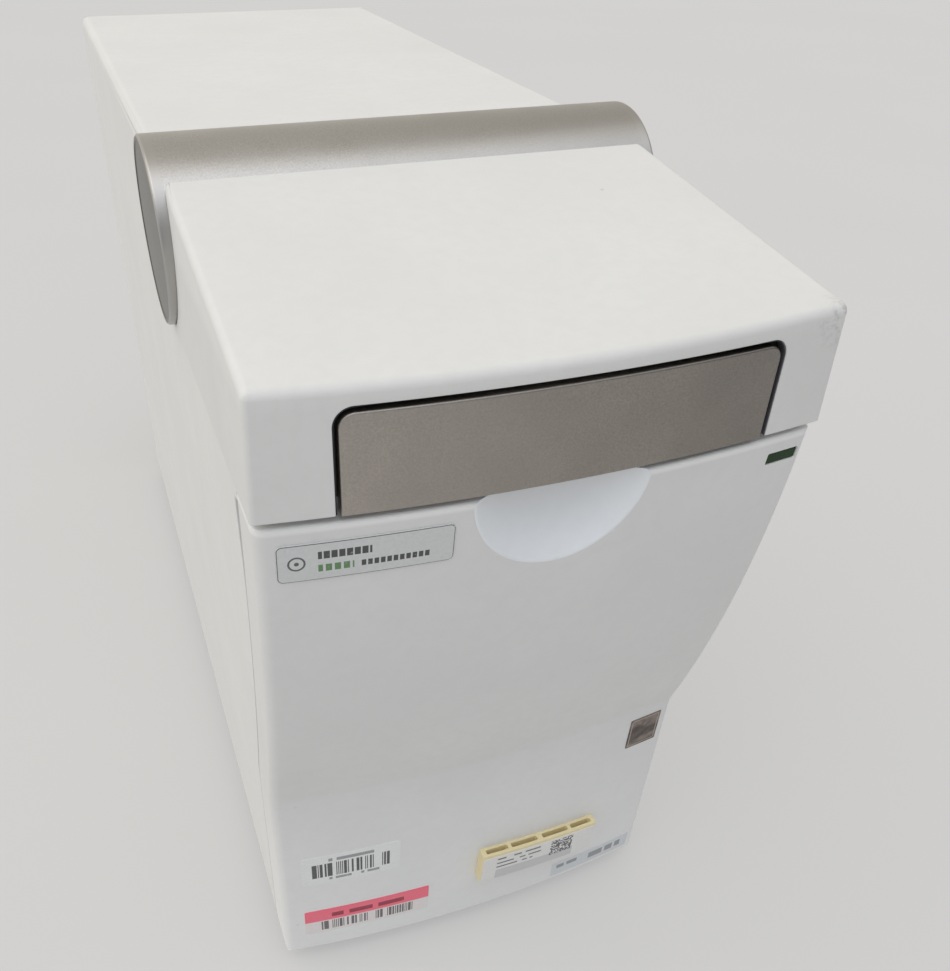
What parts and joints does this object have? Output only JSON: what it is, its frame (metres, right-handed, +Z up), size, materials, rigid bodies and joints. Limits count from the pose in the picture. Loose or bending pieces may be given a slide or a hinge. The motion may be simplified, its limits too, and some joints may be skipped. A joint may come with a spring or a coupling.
{
  "type": "chip electrophoresis analyzer",
  "caption": "Narrow benchtop analyzer with a short front lid that turns about a metal roller, a grip plate, a chip deck, and a back panel with mains inlet, data ports and fan.",
  "frame": {"origin": "on the bench, under the middle of the instrument's footprint", "axes": "+X to the right as seen from the front, +Y to the back, +Z up"},
  "size_m": [0.162, 0.4118, 0.29],
  "materials": {
    "cover_plastic": "fine moulded texture, matt",
    "panel_plastic": "fine moulded texture, matt",
    "scoop_plastic": "smooth, matt",
    "lid_plastic": "fine moulded texture, matt",
    "roller_metal": "satin, fine metallic grain",
    "grip_metal": "satin metallic paint",
    "black_plastic": "matt",
    "foot_rubber": "matt",
    "steel_sheet": "zinc plated",
    "bright_steel": "bright plated",
    "lens_green": "dark translucent green",
    "badge_silver": "satin silver film",
    "foil_grey": "dark metallic foil",
    "label_white": "coated label stock",
    "label_pink": "coated label stock",
    "ivory_plastic": "moulded, slight sheen",
    "deck_plastic": "moulded, matt",
    "cast_alloy": "machined",
    "brass_part": "machined",
    "blue_plastic": "moulded",
    "lens_glass": "polished",
    "board_green": "solder mask",
    "potting_grey": "painted",
    "wire_jacket": "smooth jacket",
    "lever_grey": "moulded"
  },
  "bodies": {
    "base": {"chassis_tray": "steel_sheet", "foot_front_left": "foot_rubber", "foot_front_right": "foot_rubber", "foot_rear_left": "foot_rubber", "foot_rear_right": "foot_rubber", "main_cover": "cover_plastic", "front_panel": "panel_plastic", "finger_scoop": "scoop_plastic", "status_lens": "lens_green", "status_led_board": "board_green", "name_badge": "badge_silver", "foil_seal": "foil_grey", "barcode_label": "label_white", "asset_label": "label_pink", "service_label": "label_white", "slot_strip": "ivory_plastic", "slot_strip_card": "label_white", "rear_panel": "steel_sheet", "rear_screws": "bright_steel", "power_inlet": "black_plastic", "data_port_upper": "bright_steel", "data_port_lower": "bright_steel", "fan_frame": "black_plastic", "fan_guard": "bright_steel", "deck_plate": "deck_plastic", "deck_screws": "bright_steel", "chip_mount": "cast_alloy", "heater_plate": "brass_part", "contact_block": "black_plastic", "lid_sensor": "black_plastic", "optics_shelf": "steel_sheet", "optics_block": "cast_alloy", "objective_lens": "lens_glass", "laser_module": "brass_part", "detector_module": "potting_grey", "main_board": "board_green", "board_parts": "black_plastic", "hv_module": "potting_grey", "power_supply": "steel_sheet", "wiring_loom": "wire_jacket", "hinge_bracket_left": "steel_sheet", "hinge_bracket_right": "steel_sheet", "hinge_shaft": "bright_steel"},
    "lid": {"lid_shell": "lid_plastic", "grip_plate": "grip_metal", "grip_backing": "black_plastic", "lid_liner": "deck_plastic", "roller_tube": "roller_metal", "roller_cap_left": "roller_metal", "roller_cap_right": "roller_metal", "hinge_bush_left": "brass_part", "hinge_bush_right": "brass_part", "roller_screws": "bright_steel", "electrode_cartridge": "ivory_plastic", "electrode_pins": "bright_steel"},
    "lock_lever": {"lock_lever": "lever_grey"},
    "chip_selector": {"chip_selector": "blue_plastic"},
    "power_rocker": {"power_rocker": "black_plastic"},
    "fuse_drawer": {"fuse_drawer": "black_plastic"},
    "fan_rotor": {"fan_rotor": "black_plastic"}
  },
  "joints": [
    {"name": "lid_hinge", "type": "hinge", "parent": "base", "child": "lid", "pos_m": [0, -0.0755, 0.262], "axis": [-1, 0, 0], "range_deg": [0, 65]},
    {"name": "lock_turn", "type": "hinge", "parent": "lid", "child": "lock_lever", "pos_m": [-0.047, -0.122, 0.236], "axis": [0, 0, -1], "range_deg": [0, 90]},
    {"name": "selector_slide", "type": "slide", "parent": "base", "child": "chip_selector", "axis": [0, 1, 0], "range_m": [0, 0.012]},
    {"name": "rocker_tilt", "type": "hinge", "parent": "base", "child": "power_rocker", "pos_m": [0, 0.197, 0.044], "axis": [-1, 0, 0], "range_deg": [0, 20]},
    {"name": "fuse_slide", "type": "slide", "parent": "base", "child": "fuse_drawer", "axis": [0, 1, 0], "range_m": [0, 0.014]},
    {"name": "fan_spin", "type": "hinge", "parent": "base", "child": "fan_rotor", "pos_m": [0, 0.189, 0.215], "axis": [0, 1, 0], "continuous": true}
  ]
}
